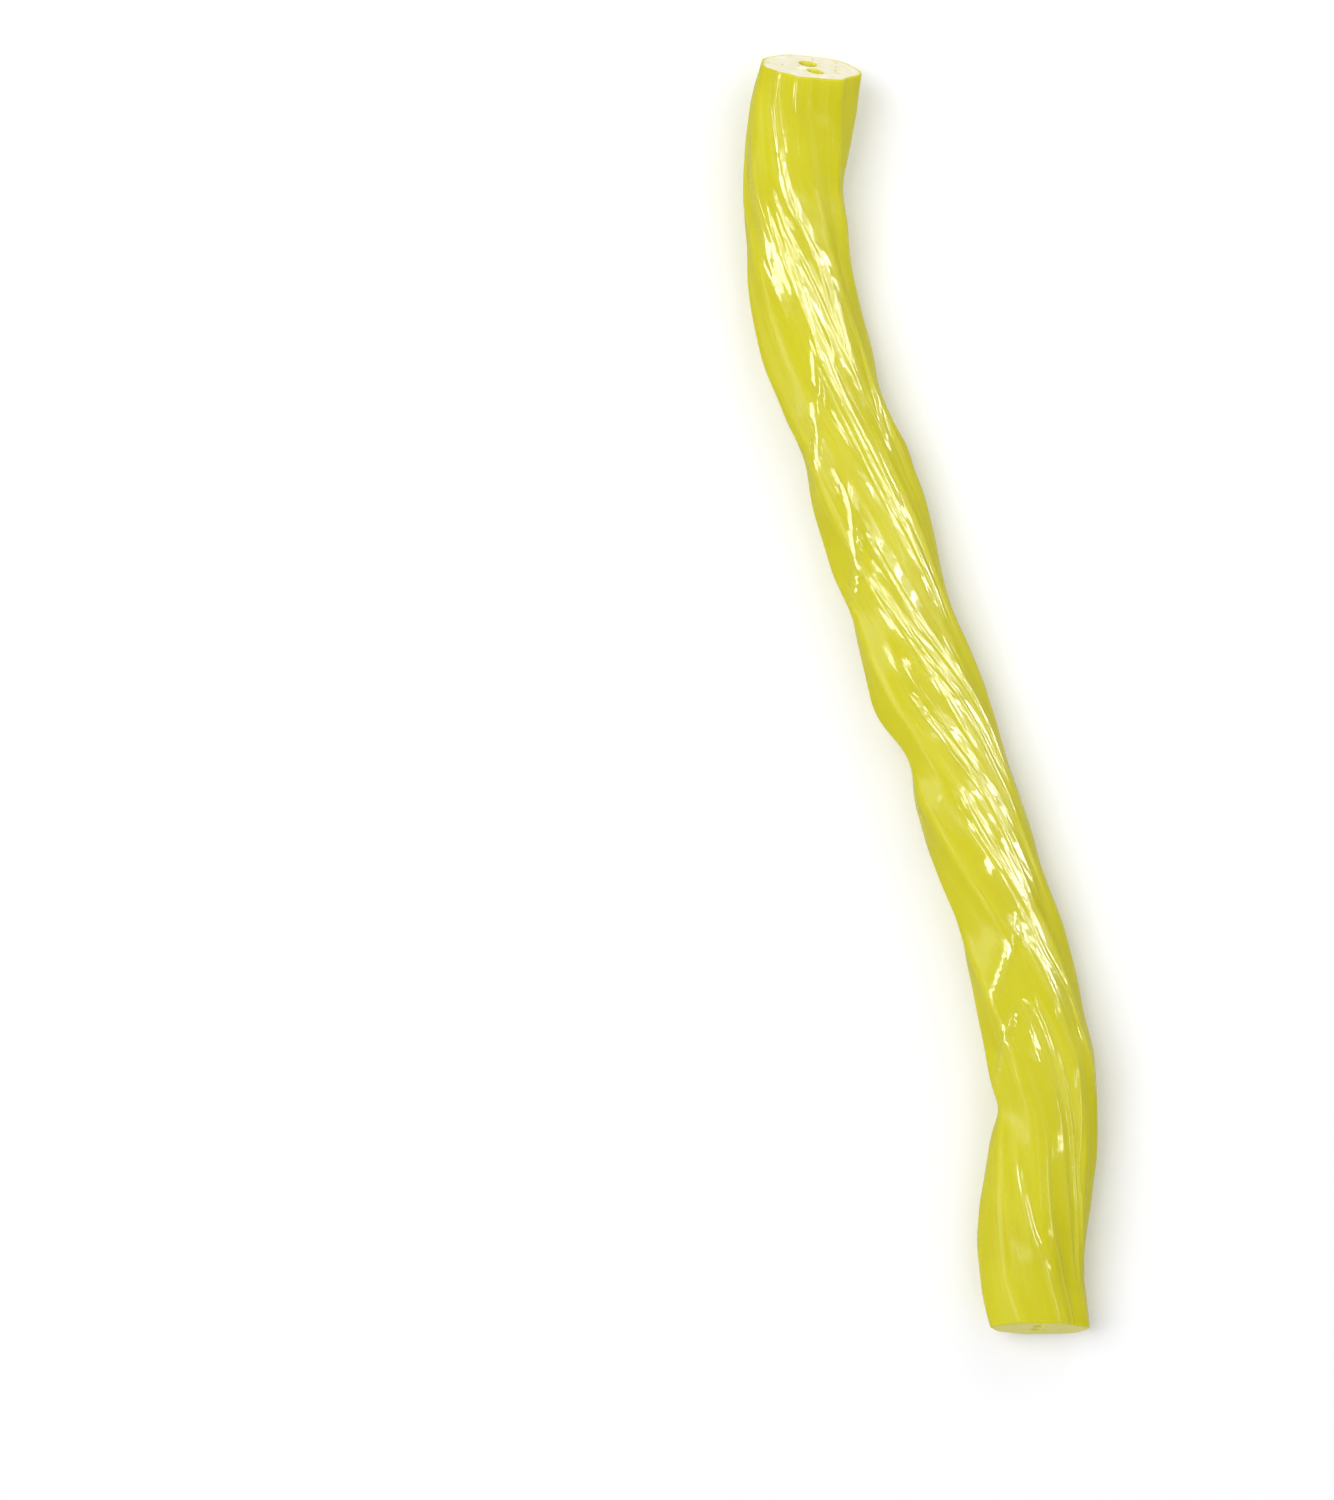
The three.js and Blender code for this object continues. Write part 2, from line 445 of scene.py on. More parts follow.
@dataclass
class PulledSkin:
    """The strands of the shown side of the rope, which the hidden side has as well."""

    strands: tuple[Strand, ...] = (
        Strand(((-4, -41), (7, -41), (16, -41)), 0.16, 0.6, polished=1.1),
        Strand(((-3, -16), (1.5, -17), (5, -19)), 0.08, 0.4, polished=0.7),
        Strand(
            ((8, -43), (13, -39), (17, -33), (21, -28), (26, -34), (35, -49)), 0.32, 2.1, 2.0, polished=0.9
        ),
        Strand(((11, -43), (20, -38), (26, -44), (35, -50)), 0.1, 0.4),
        Strand(((11, -59), (17, -55), (22, -51), (34, -50)), 0.11, 0.4),
        Strand(((13, -60), (20, -63), (31, -64)), 0.08, 0.35),
        Strand(((7, -79), (17, -73), (22, -71), (31, -74), (42, -78), (49, -85), (59, -88)), 0.26, 0.8, 2.2),
        Strand(((27, -76), (37, -81), (44, -87), (58, -95)), 0.1, 0.4),
        Strand(((30, -82), (38, -88), (47, -96)), 0.08, 0.35),
        Strand(((40, -122), (54, -128), (62, -124), (69, -111), (74, -115), (82, -128)), 0.24, 1.2, 2.6),
        Strand(((47, -131), (57, -135), (63, -129), (69, -120), (76, -124)), 0.1, 0.4),
        Strand(((51, -151), (61, -146), (69, -139), (80, -147)), 0.13, 0.45),
        Strand(((53, -158), (62, -155), (72, -160)), 0.08, 0.5),
        Strand(((58, -178), (71, -174), (79, -176), (88, -184)), 0.28, 1.8, 2.4),
        Strand(((63, -186), (73, -181), (79, -186), (88, -203)), 0.12, 0.45),
        Strand(((73, -199), (80, -212), (90, -220)), 0.1, 0.45),
        Strand(((74, -222), (84, -223), (92, -233), (101, -240)), 0.24, 1.7, 2.0),
        Strand(((87, -217), (93, -228), (98, -217), (108, -208)), 0.08, 0.45),
        Strand(((90, -237), (96, -243), (101, -247)), 0.09, 0.5),
        Strand(((102, -243), (108, -257), (114, -265), (120, -253), (126, -236)), 0.1, 0.5, polished=0.8),
        Strand(((96, -267), (107, -272), (116, -270), (122, -261), (133, -254)), 0.08, 0.5, polished=0.8),
        Strand(
            ((96, -283), (108, -285), (116, -287), (121, -277), (127, -262)), 0.15, 0.7, 1.6, polished=1.0
        ),
        Strand(((110, -306), (118, -313), (124, -300), (133, -290)), 0.08, 0.5, polished=0.8),
        Strand(((112, -346), (119, -338), (124, -325), (133, -324)), 0.08, 0.5, polished=0.8),
        Strand(((27, -70), (32.5, -94), (37, -124), (41, -156)), 0.12, 0.8, polished=0.9),
        Strand(((42, -116), (48.5, -148), (55, -212)), 0.12, 0.8, polished=0.9),
        Strand(((87, -228), (91.3, -260), (97, -326)), 0.12, 0.8, polished=0.9),
        Strand(((96, -280), (101, -328), (106, -372)), 0.1, 0.5, polished=0.8),
        Strand(((6, -84), (12, -82), (17, -88), (24, -88)), 0.06, 0.9),
        Strand(((33, -8), (36, -24), (38, -36), (42, -54)), 0.08, 1.0, polished=1.6),
        Strand(((11, 44), (11.3, -22)), 0.04, 0.25, polished=0.4),
    )
    sides: tuple[float, ...] = (0.0, 180.0)

    def relief(self, angle: np.ndarray, distance: np.ndarray) -> np.ndarray:
        """How far all of them together stand out at places on the skin."""
        pairs = itertools.product(self.strands, self.sides)
        return sum(strand.relief(angle - side, distance) for strand, side in pairs)

    def polish(self, angle: np.ndarray, distance: np.ndarray) -> np.ndarray:
        """How much they polished the skin at places on it, from 0 to 1."""
        pairs = itertools.product(self.strands, self.sides)
        return np.maximum.reduce([strand.polish(angle - side, distance) for strand, side in pairs])


@dataclass(frozen=True)
class EndFlat:
    """The broad flat that the top of the rope has at the raised end."""

    depth: float = 0.5
    angle: float = -3.0
    spread: float = 24.0
    reach: float = 12.0

    def taken(self, angle: np.ndarray, distance: np.ndarray) -> np.ndarray:
        """How much the flat takes from the die's size at angles round it and along the rope."""
        aside = degrees_aside(angle, self.angle)
        return self.depth * np.exp(-((aside / self.spread) ** 2) - (distance / self.reach) ** 2)


@dataclass
class SoftLumps:
    """Slow unevenness of the soft candy, as a sum of waves through the rope."""

    count: int = 22
    height: float = 0.05
    wave_lengths: tuple[float, float] = (5.0, 17.0)
    seed: int = 5

    def relief(self, straight: np.ndarray) -> np.ndarray:
        """How far the candy swells at places in the straight rope.

        Args:
            straight: Places across, up and along the rope before it was turned and bent.

        Returns:
            The swelling at each place.
        """
        draw = np.random.default_rng(self.seed)
        total = sum(wave for _, wave in random_waves(draw, straight, self.count, self.wave_lengths))
        return total * self.height / math.sqrt(self.count)


@dataclass(frozen=True)
class BladeMarks:
    """Waves and small pits where the blade dragged the soft candy of a cut face."""

    height: float = 0.035
    waves: int = 26
    wave_lengths: tuple[float, float] = (0.7, 3.5)
    wave_share: float = 0.4
    pits: int = 24
    pit_depth: float = 3.5
    pit_reach: float = 4.6
    pit_sizes: tuple[float, float] = (0.16, 0.3)
    edge_fade: float = 0.5

    def relief(self, places: np.ndarray, clear: np.ndarray, seed: int) -> np.ndarray:
        """How far a cut face stands out.

        Args:
            places: Places in the die's plane.
            clear: How far each is from the nearest edge.
            seed: The seed of this face's random draws.

        Returns:
            The relief, which fades out at the edges.
        """
        draw = np.random.default_rng(seed)
        waves = random_waves(draw, places, self.waves, self.wave_lengths)
        drag = sum(length / self.wave_lengths[1] * wave for length, wave in waves)
        pits = np.zeros(len(places))
        for _ in range(self.pits):
            middle = draw.uniform(-self.pit_reach, self.pit_reach, size=2)
            size = draw.uniform(*self.pit_sizes)
            pits -= self.pit_depth * np.exp(-(np.linalg.norm(places - middle, axis=1) / size) ** 2)
        return self.height * np.clip(clear / self.edge_fade, 0, 1) * (drag * self.wave_share + pits)


@dataclass
class Channel:
    """One of the thin channels that run beside the axis, oval along the line of both."""

    angle: float
    offset: float = 1.55
    half_width: float = 0.85
    half_length: float = 1.15
    sides: int = 20

    def axes(self) -> tuple[np.ndarray, np.ndarray]:
        """Directions from the die's axis to the channel's middle, and at right angles to that."""
        middle = math.radians(self.angle)
        return np.array([math.sin(middle), math.cos(middle)]), np.array([math.cos(middle), -math.sin(middle)])

    def outline(self, flare: float) -> np.ndarray:
        """The channel's outline in the die's plane.

        Args:
            flare: How much wider than its own size the mouth is there.

        Returns:
            Points across and up from the die's axis.
        """
        outward, sideways = self.axes()
        turn = np.linspace(0, 2 * math.pi, self.sides, endpoint=False)
        length = (self.half_length + flare) * np.cos(turn)[:, None] * outward
        width = (self.half_width + flare) * np.sin(turn)[:, None] * sideways
        return self.offset * outward + length + width

    def clearance(self, points: np.ndarray) -> np.ndarray:
        """Roughly how far points lie outside the channel.

        Args:
            points: Points in the die's plane.

        Returns:
            How far each lies outside it, which is below zero within it.
        """
        outward, sideways = self.axes()
        from_middle = points - self.offset * outward
        scaled = np.hypot(from_middle @ outward / self.half_length, from_middle @ sideways / self.half_width)
        return (scaled - 1) * min(self.half_length, self.half_width)


@dataclass
class RopeMesh:
    """Points, faces and surface facts of the rope's mesh while it is put together."""

    points: list[np.ndarray] = field(default_factory=list)
    straight: list[np.ndarray] = field(default_factory=list)
    from_skin: list[np.ndarray] = field(default_factory=list)
    polish: list[np.ndarray] = field(default_factory=list)
    faces: list[np.ndarray] = field(default_factory=list)
    surfaces: list[np.ndarray] = field(default_factory=list)
    count: int = 0

    def add_points(
        self, points: np.ndarray, straight: np.ndarray,
        from_skin: np.ndarray | float, polish: np.ndarray | float,
    ) -> np.ndarray:
        """Adds points.

        Args:
            points: The points.
            straight: Their places in the straight rope.
            from_skin: How far under the skin they lie.
            polish: How polished the skin is at them.

        Returns:
            Their numbers, in the same arrangement.
        """
        shape = points.shape[:-1]
        amount = int(np.prod(shape))
        numbers = np.arange(self.count, self.count + amount).reshape(shape)
        self.points.append(points.reshape(-1, 3))
        self.straight.append(straight.reshape(-1, 3))
        self.from_skin.append(np.broadcast_to(from_skin, shape).reshape(-1))
        self.polish.append(np.broadcast_to(polish, shape).reshape(-1))
        self.count += amount
        return numbers

    def add_faces(self, faces: np.ndarray, surface: Surface) -> None:
        """Adds triangles of one kind of surface."""
        self.faces.append(faces.reshape(-1, 3))
        self.surfaces.append(np.full(len(self.faces[-1]), surface.value))

    def add_wall(self, numbers: np.ndarray, surface: Surface, faces_out: bool) -> None:
        """Adds the triangles between rows of points that go round.

        Args:
            numbers: Point numbers, one row for each station.
            surface: The kind of surface.
            faces_out: False for a wall that is seen from within.
        """
        near, following = numbers[:-1], np.roll(numbers, -1, axis=1)[:-1]
        far, far_following = numbers[1:], np.roll(numbers, -1, axis=1)[1:]
        first = np.stack([near, far, following], axis=-1)
        second = np.stack([following, far, far_following], axis=-1)
        faces = np.concatenate([first.reshape(-1, 3), second.reshape(-1, 3)])
        self.add_faces(faces if faces_out else faces[:, ::-1], surface)

    def build(self, name: str) -> bpy.types.Object:
        """Makes the Blender object.

        Args:
            name: The object's name.

        Returns:
            The object, in the scene, with its facts as attributes.
        """
        mesh = bpy.data.meshes.new(name)
        points = np.concatenate(self.points) * MM
        faces = np.concatenate(self.faces)
        mesh.from_pydata(points.tolist(), [], faces.tolist())
        mesh.polygons.foreach_set("material_index", np.concatenate(self.surfaces).astype(np.int32))
        straight = mesh.attributes.new("straight_rope", "FLOAT_VECTOR", "POINT")
        straight.data.foreach_set("vector", np.concatenate(self.straight).astype(np.float32).ravel())
        for label, values in (("from_skin", self.from_skin), ("polish", self.polish)):
            fact = mesh.attributes.new(label, "FLOAT", "POINT")
            fact.data.foreach_set("value", np.concatenate(values).astype(np.float32))
        mesh.shade_smooth()
        mesh.update()
        mesh.validate()
        piece = bpy.data.objects.new(name, mesh)
        bpy.context.scene.collection.objects.link(piece)
        return piece


@dataclass
class CandyRope:
    """The licorice twist: its skin, its cut faces and its channels, as one closed surface."""

    route: Route = field(default_factory=Route)
    die: Die = field(default_factory=Die)
    end_flat: EndFlat = EndFlat()
    marks: DieMarks = field(default_factory=DieMarks)
    pulled: PulledSkin = field(default_factory=PulledSkin)
    lumps: SoftLumps = field(default_factory=SoftLumps)
    channels: tuple[Channel, ...] = (Channel(16), Channel(196))
    start_cut: Cut = Cut(4, -4)
    end_cut: Cut = Cut(13, -7)
    presses: tuple[Press, ...] = (
        Press(62.6, Side.RIGHT, 0.3, 3),
        Press(56, Side.RIGHT, -0.35, 4),
        Press(47.6, Side.RIGHT, -0.45, 2.6),
        Press(45.2, Side.LEFT, 0.35, 2.5),
        Press(34.6, Side.LEFT, -0.35, 4),
        Press(29.4, Side.RIGHT, 0.3, 2.2),
        Press(24.8, Side.LEFT, 0.55, 2.5),
        Press(23.4, Side.RIGHT, -0.45, 2.2),
        Press(18.6, Side.RIGHT, -0.3, 3),
        Press(9.6, Side.LEFT, 0.3, 2.5),
        Press(8.1, Side.RIGHT, 0.45, 3.5),
        Press(0.6, Side.LEFT, -0.4, 2.5),
        Press(-5.2, Side.LEFT, 1.2, 2.8),
        Press(-20.6, Side.LEFT, 0.35, 2.6),
        Press(-36.4, Side.RIGHT, -0.45, 2.6),
        Press(-41.2, Side.LEFT, 0.65, 2.2),
        Press(-52, Side.LEFT, -0.35, 4),
    )
    press_spread: float = 45.0
    flank_slip: FlankSlip = FlankSlip()
    floor_softness: float = 0.16
    rim_radius: float = 0.14
    rim_steps: int = 5
    skin_stations: int = 216
    skin_sides: int = 380
    blade_marks: BladeMarks = BladeMarks()
    face_seed: int = 31
    face_grain: float = 0.2
    grain_clear: float = 0.12
    mouth_clear: float = 0.1

    def pressed_share(self, facing: np.ndarray, y: np.ndarray) -> np.ndarray:
        """What is left of a radius where the presses take from it or add to it.

        Args:
            facing: Where the points face round the rope.
            y: Where the middles of their sections lie along Y.

        Returns:
            The share of the radius that is left.
        """
        taken = np.zeros(np.broadcast_shapes(facing.shape, y.shape))
        for press in self.presses:
            aside = degrees_aside(facing, press.side.value)
            hump = np.exp(-((aside / self.press_spread) ** 2) - ((y - press.y) / press.reach) ** 2)
            taken += press.depth * hump
        return 1 - taken / self.die.size

    def settle(self, z: np.ndarray) -> np.ndarray:
        """Presses what would lie below the floor flat on it, with a soft bend at the edge.

        Args:
            z: Heights of points.

        Returns:
            Their heights on the floor, none of them below zero.
        """
        soft = self.floor_softness
        bend = (z + soft) ** 2 / (4 * soft)
        return np.where(z > soft, z, np.where(z < -soft, 0, bend))

    def place(self, angle: np.ndarray, radius: np.ndarray, stations: Stations) -> np.ndarray:
        """Places die points in space.

        Args:
            angle: Angles of the points round the die.
            radius: Distances of the points from the die's axis.
            stations: The sections that they lie in.

        Returns:
            Points in the piece's frame.
        """
        facing = self.flank_slip.settle(angle + stations.turn)
        flattened = radius * (1 - self.end_flat.taken(angle, stations.distance) / self.die.size)
        pressed = flattened * self.pressed_share(facing, stations.centre[..., 1])
        across = pressed * np.sin(np.radians(facing)) * stations.width
        up = pressed * np.cos(np.radians(facing)) * stations.height
        forward = self.start_cut.shift(across, up, stations.distance)
        forward = forward - self.end_cut.shift(across, up, self.route.length - stations.distance)
        points = stations.centre + stations.right * across[..., None]
        points = points + stations.top * up[..., None] + stations.ahead * forward[..., None]
        points[..., 2] = self.settle(points[..., 2])
        return points

    def straight_places(self, angle: np.ndarray, radius: np.ndarray, distance: np.ndarray) -> np.ndarray:
        """Places in the straight rope, before it was turned and bent.

        Args:
            angle: Angles round the die.
            radius: Distances from the die's axis.
            distance: Distances along the rope.

        Returns:
            The places across, up and along the rope.
        """
        across = radius * np.sin(np.radians(angle))
        up = radius * np.cos(np.radians(angle))
        return np.stack(np.broadcast_arrays(across, up, distance), axis=-1)

    def rim_rounding(self, distance: np.ndarray) -> np.ndarray:
        """How far the skin draws in where it rounds over the edge of a cut.

        Args:
            distance: Distances along the rope.

        Returns:
            How far it draws in at each of them.
        """
        to_cut = np.minimum(distance, self.route.length - distance)
        part = np.clip(1 - to_cut / self.rim_radius, 0, 1)
        return self.rim_radius * (1 - np.sqrt(1 - part**2))

    def station_distances(self) -> np.ndarray:
        """Spreads the stations along the rope, and crowds them at both rims.

        Returns:
            Their distances from the raised end.
        """
        rim = self.rim_radius * (1 - np.cos(np.linspace(0, math.pi / 2, self.rim_steps)))
        middle = np.linspace(self.rim_radius, self.route.length - self.rim_radius, self.skin_stations)
        return np.concatenate([rim[:-1], middle, self.route.length - rim[-2::-1]])

    def skin_radius(self, angle: np.ndarray, distance: np.ndarray) -> np.ndarray:
        """Radius of the skin, with its fine lines, strands and slow lumps.

        Args:
            angle: Angles round the die, in a row.
            distance: Distances along the rope, in a column.

        Returns:
            The radius at each angle of each station.
        """
        plain = self.die.radius(angle)
        straight = self.straight_places(angle, plain, distance)
        slow = self.marks.relief(angle, distance) + self.lumps.relief(straight)
        smoothed = 1 - self.end_flat.taken(angle, distance) / self.end_flat.depth
        return plain + slow * smoothed + self.pulled.relief(angle, distance) - self.rim_rounding(distance)

    def add_skin(self, mesh: RopeMesh, distance: np.ndarray) -> np.ndarray:
        """Adds the skin.

        Args:
            mesh: The mesh to add to.
            distance: The stations' distances along the rope.

        Returns:
            Its point numbers, one row for each station.
        """
        angle = np.linspace(0, 360, self.skin_sides, endpoint=False)[None, :]
        along = distance[:, None]
        radius = self.skin_radius(angle, along)
        points = self.place(angle, radius, self.route.stations(distance))
        polish = self.pulled.polish(angle, along)
        numbers = mesh.add_points(points, self.straight_places(angle, radius, along), 0.0, polish)
        mesh.add_wall(numbers, Surface.SKIN, faces_out=True)
        return numbers

    def add_channel(self, mesh: RopeMesh, channel: Channel, distance: np.ndarray) -> np.ndarray:
        """Adds one channel's wall.

        Args:
            mesh: The mesh to add to.
            channel: The channel.
            distance: The stations' distances along the rope.

        Returns:
            Its point numbers, one row for each station.
        """
        outlines = np.stack([channel.outline(flare) for flare in self.rim_rounding(distance)])
        angle, radius = polar(outlines)
        points = self.place(angle, radius, self.route.stations(distance))
        straight = self.straight_places(angle, radius, distance[:, None])
        depth = self.die.radius(angle) - radius
        numbers = mesh.add_points(points, straight, depth, 0.0)
        mesh.add_wall(numbers, Surface.CHANNEL, faces_out=False)
        return numbers

    def channel_clearance(self, places: np.ndarray) -> np.ndarray:
        """Roughly how far places in the die's plane lie outside the nearer channel."""
        return np.min([channel.clearance(places) for channel in self.channels], axis=0)

    def face_places(self, distance: float) -> np.ndarray:
        """Spreads a triangular grid of places over a cut face, clear of every edge.

        Args:
            distance: The cut's distance along the rope.

        Returns:
            The places, in the die's plane.
        """
        reach = max(corner.radius for corner in self.die.corners)
        step = self.face_grain
        rows = np.arange(-reach, reach, step * math.sqrt(3) / 2)
        columns = np.arange(-reach, reach, step)
        across, up = np.meshgrid(columns, rows)
        across = across + (np.arange(len(rows)) % 2)[:, None] * step / 2
        places = np.stack([across, up], axis=-1).reshape(-1, 2)
        angle, radius = polar(places)
        edge = self.skin_radius(angle[None, :], np.array([[distance]]))[0]
        off_skin = radius < edge - self.grain_clear
        off_mouths = self.channel_clearance(places) > self.grain_clear + self.rim_radius
        return places[off_skin & off_mouths]

    def add_face_grain(self, mesh: RopeMesh, inner: np.ndarray, distance: float, outward: int) -> np.ndarray:
        """Adds the points inside a cut face, moved in and out by the blade's marks.

        Args:
            mesh: The mesh to add to.
            inner: The points' places in the die's plane.
            distance: The cut's distance along the rope.
            outward: 1 if the face looks ahead along the rope, and -1 if it looks back.

        Returns:
            Their point numbers.
        """
        along = np.array([[distance]])
        station = self.route.stations(along[0])
        angle, radius = polar(inner[None])
        depth = self.skin_radius(angle, along) - radius
        clear = np.minimum(depth[0], self.channel_clearance(inner))
        relief = self.blade_marks.relief(inner, clear, self.face_seed + outward)
        points = self.place(angle, radius, station)[0] + outward * relief[:, None] * station.ahead[0]
        return mesh.add_points(points, self.straight_places(angle, radius, along)[0], depth[0], 0.0)

    def triangles_between(self, edges: list[np.ndarray], inner: np.ndarray, outward: int) -> np.ndarray:
        """Divides a cut face into triangles.

        Args:
            edges: Places round the skin and round each channel's mouth, in the die's plane.
            inner: Places inside the face.
            outward: 1 if the face looks ahead along the rope, and -1 if it looks back.

        Returns:
            The triangles, which count the places on the edges first and then the inner ones.
        """
        flat = np.concatenate([*edges, inner])
        lines: list[tuple[int, int]] = []
        first = 0
        for edge in edges:
            count = len(edge)
            lines += [(first + index, first + (index + 1) % count) for index in range(count)]
            first += count
        corners = [Vector(place) for place in flat.tolist()]
        inside_only, same_place = 1, 1e-6
        _, _, made, origins, *_ = delaunay_2d_cdt(corners, lines, [], inside_only, same_place)
        faces = np.array([origin[0] for origin in origins])[np.array(made)]
        faces = faces[self.channel_clearance(flat[faces].mean(axis=1)) > self.mouth_clear]
        first_side = flat[faces[:, 1]] - flat[faces[:, 0]]
        second_side = flat[faces[:, 2]] - flat[faces[:, 0]]
        area = first_side[:, 0] * second_side[:, 1] - first_side[:, 1] * second_side[:, 0]
        return np.where((area * outward > 0)[:, None], faces, faces[:, ::-1])

    def add_cut_face(self, mesh: RopeMesh, rings: list[np.ndarray], distance: float, outward: int) -> None:
        """Adds a cut face between the rim of the skin and the channels' mouths.

        Args:
            mesh: The mesh to add to.
            rings: Point numbers of the skin's and the channels' last rows.
            distance: The cut's distance along the rope.
            outward: 1 if the face looks ahead along the rope, and -1 if it looks back.
        """
        straight = np.concatenate(mesh.straight)
        inner = self.face_places(distance)
        triangles = self.triangles_between([straight[ring, :2] for ring in rings], inner, outward)
        numbers = np.concatenate([*rings, self.add_face_grain(mesh, inner, distance, outward)])
        mesh.add_faces(numbers[triangles], Surface.CUT)

    def build(self) -> bpy.types.Object:
        """Builds the rope.

        Returns:
            The finished object, without its materials.
        """
        mesh = RopeMesh()
        distance = self.station_distances()
        walls = [self.add_skin(mesh, distance)]
        walls += [self.add_channel(mesh, channel, distance) for channel in self.channels]
        self.add_cut_face(mesh, [wall[0] for wall in walls], 0.0, outward=-1)
        self.add_cut_face(mesh, [wall[-1] for wall in walls], self.route.length, outward=1)
        return mesh.build("licorice_twist")


@dataclass
class NodeSheet:
    """Adds shader nodes to one tree and wires them."""

    tree: bpy.types.NodeTree

    def add(self, kind: str, inputs: dict | None = None, **settings: object) -> bpy.types.Node:
        """Adds a node.

        Args:
            kind: The node's type name.
            inputs: Values or sockets for its inputs, by name or number.
            settings: Its other properties.

        Returns:
            The node.
        """
        node = self.tree.nodes.new(kind)
        for name, value in settings.items():
            setattr(node, name, value)
        self.feed(node, inputs or {})
        return node

    def feed(self, node: bpy.types.Node, inputs: dict) -> None:
        """Gives a node's inputs their values, or links them to other sockets.

        Args:
            node: The node.
            inputs: Values or sockets for its inputs, by name or number.
        """
        for name, value in inputs.items():
            if isinstance(value, bpy.types.NodeSocket):
                self.tree.links.new(value, node.inputs[name])
            else:
                node.inputs[name].default_value = value

    def place_group(self, group: bpy.types.NodeTree, inputs: dict) -> bpy.types.Node:
        """Places a node group in the tree with its own values."""
        return self.add("ShaderNodeGroup", inputs, node_tree=group)

    def fact(self, name: str, output: str = "Fac") -> bpy.types.NodeSocket:
        """Reads one of the mesh's attributes."""
        return self.add("ShaderNodeAttribute", attribute_name=name).outputs[output]

    def rope_places(self, lengthwise: object = 1.0) -> bpy.types.NodeSocket:
        """Reads the places in the straight rope, in millimetres.

        Args:
            lengthwise: The share of the way along the rope that counts. A small one draws patterns out.

        Returns:
            The places.
        """
        split = self.add("ShaderNodeSeparateXYZ", {0: self.fact("straight_rope", "Vector")})
        length = self.math("MULTIPLY", split.outputs["Z"], lengthwise)
        inputs = {"X": split.outputs["X"], "Y": split.outputs["Y"], "Z": length}
        return self.add("ShaderNodeCombineXYZ", inputs).outputs[0]

    def noise(self, places: object, scale: object, detail: float = 2.0) -> bpy.types.NodeSocket:
        """Adds a noise, and returns its value."""
        return self.add("ShaderNodeTexNoise", {"Vector": places, "Scale": scale, "Detail": detail}).outputs[0]

    def bump(self, height: object, distance: float) -> bpy.types.NodeSocket:
        """Turns a height into a normal, where a height of 1 stands out by the distance, in millimetres."""
        inputs = {"Height": height, "Distance": distance * MM, "Strength": 1.0}
        return self.add("ShaderNodeBump", inputs).outputs[0]

    def math(self, operation: str, first: object, second: object = 0.0) -> bpy.types.NodeSocket:
        """Works out one value from two others, and returns it."""
        return self.add("ShaderNodeMath", {0: first, 1: second}, operation=operation).outputs[0]

    def span(self, value: object, low: float, high: float) -> bpy.types.NodeSocket:
        """Spreads the values between two limits smoothly over 0 to 1."""
        inputs = {"Value": value, "From Min": low, "From Max": high}
        return self.add("ShaderNodeMapRange", inputs, interpolation_type="SMOOTHSTEP").outputs["Result"]

    def mix(self, amount: object, first: object, second: object) -> bpy.types.NodeSocket:
        """Mixes two colours, and returns the mix."""
        return self.add("ShaderNodeMix", {0: amount, 6: first, 7: second}, data_type="RGBA").outputs[2]


def new_material(name: str) -> tuple[bpy.types.Material, NodeSheet, bpy.types.Node]:
    """Makes a material.

    Args:
        name: The material's name.

    Returns:
        The material, its sheet and its shader.
    """
    material = bpy.data.materials.new(name)
    material.use_nodes = True
    return material, NodeSheet(material.node_tree), material.node_tree.nodes["Principled BSDF"]


def new_group(
    name: str, inputs: dict[str, object], outputs: dict[str, str]
) -> tuple[bpy.types.NodeTree, NodeSheet, bpy.types.Node, bpy.types.Node]:
    """Makes an empty node group.

    Args:
        name: The group's name.
        inputs: Default values by input name, numbers or colours.
        outputs: Socket types by output name.

    Returns:
        The group, its sheet, its input node and its output node.
    """
    group = bpy.data.node_groups.new(name, "ShaderNodeTree")
    for label, value in inputs.items():
        kind = "NodeSocketColor" if isinstance(value, tuple) else "NodeSocketFloat"
        group.interface.new_socket(name=label, in_out="INPUT", socket_type=kind).default_value = value
    for label, kind in outputs.items():
        group.interface.new_socket(name=label, in_out="OUTPUT", socket_type=kind)
    sheet = NodeSheet(group)
    return group, sheet, sheet.add("NodeGroupInput"), sheet.add("NodeGroupOutput")


